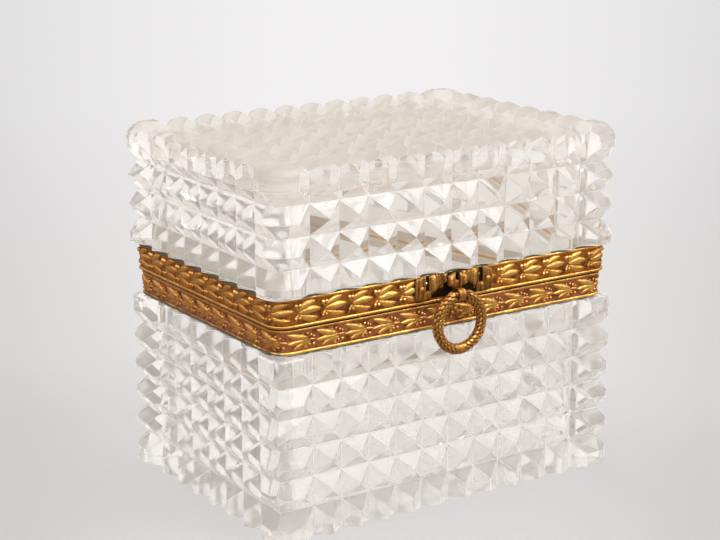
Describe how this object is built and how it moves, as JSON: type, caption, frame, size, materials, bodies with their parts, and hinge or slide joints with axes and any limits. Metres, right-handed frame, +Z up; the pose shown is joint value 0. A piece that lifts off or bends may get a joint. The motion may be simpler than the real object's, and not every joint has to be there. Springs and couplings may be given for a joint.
{
  "type": "casket box",
  "caption": "Rectangular diamond-cut crystal casket with a hinged lid, gilt laurel mounts, a ribbon bow and a wreath ring pull.",
  "frame": {"origin": "centre of the foot, on the resting plane", "axes": "+Z up, front with the ring pull towards -Y, +X to the right of the front"},
  "size_m": [0.135, 0.1043, 0.1185],
  "materials": {
    "cut_crystal": "polished cut crystal",
    "plaster": "old plaster with verdigris",
    "gilt_frame": "burnished gilt",
    "gilt_laurel": "matt gilt with darkened recesses",
    "gilt_ornament": "worn gilt with brown patina",
    "pin_brass": "worn brass"
  },
  "bodies": {
    "base": {"base_crystal": "cut_crystal", "base_plaster_bed": "plaster", "base_frame": "gilt_frame", "base_laurel_strip": "gilt_laurel", "berry_sprig": "gilt_ornament", "base_hinge_leaf": "gilt_frame", "base_hinge_rivets": "gilt_ornament", "hinge_pin": "pin_brass"},
    "lid": {"lid_crystal": "cut_crystal", "lid_plaster_bed": "plaster", "lid_frame": "gilt_frame", "lid_laurel_strip": "gilt_laurel", "lid_hinge_leaf": "gilt_frame", "lid_hinge_rivets": "gilt_ornament", "bow_ribbon": "gilt_ornament", "bow_knot": "gilt_ornament", "bow_pins": "gilt_ornament", "ring_eye": "gilt_ornament"},
    "ring": {"ring_wreath": "gilt_ornament", "ring_pivot_pin": "pin_brass"}
  },
  "joints": [
    {"name": "lid_hinge", "type": "hinge", "parent": "base", "child": "lid", "pos_m": [0, 0.0496, 0.06805], "axis": [-1, 0, 0], "range_deg": [0, 95]},
    {"name": "ring_swing", "type": "hinge", "parent": "lid", "child": "ring", "pos_m": [0, -0.05065, 0.0707], "axis": [-1, 0, 0], "range_deg": [0, 105]}
  ]
}
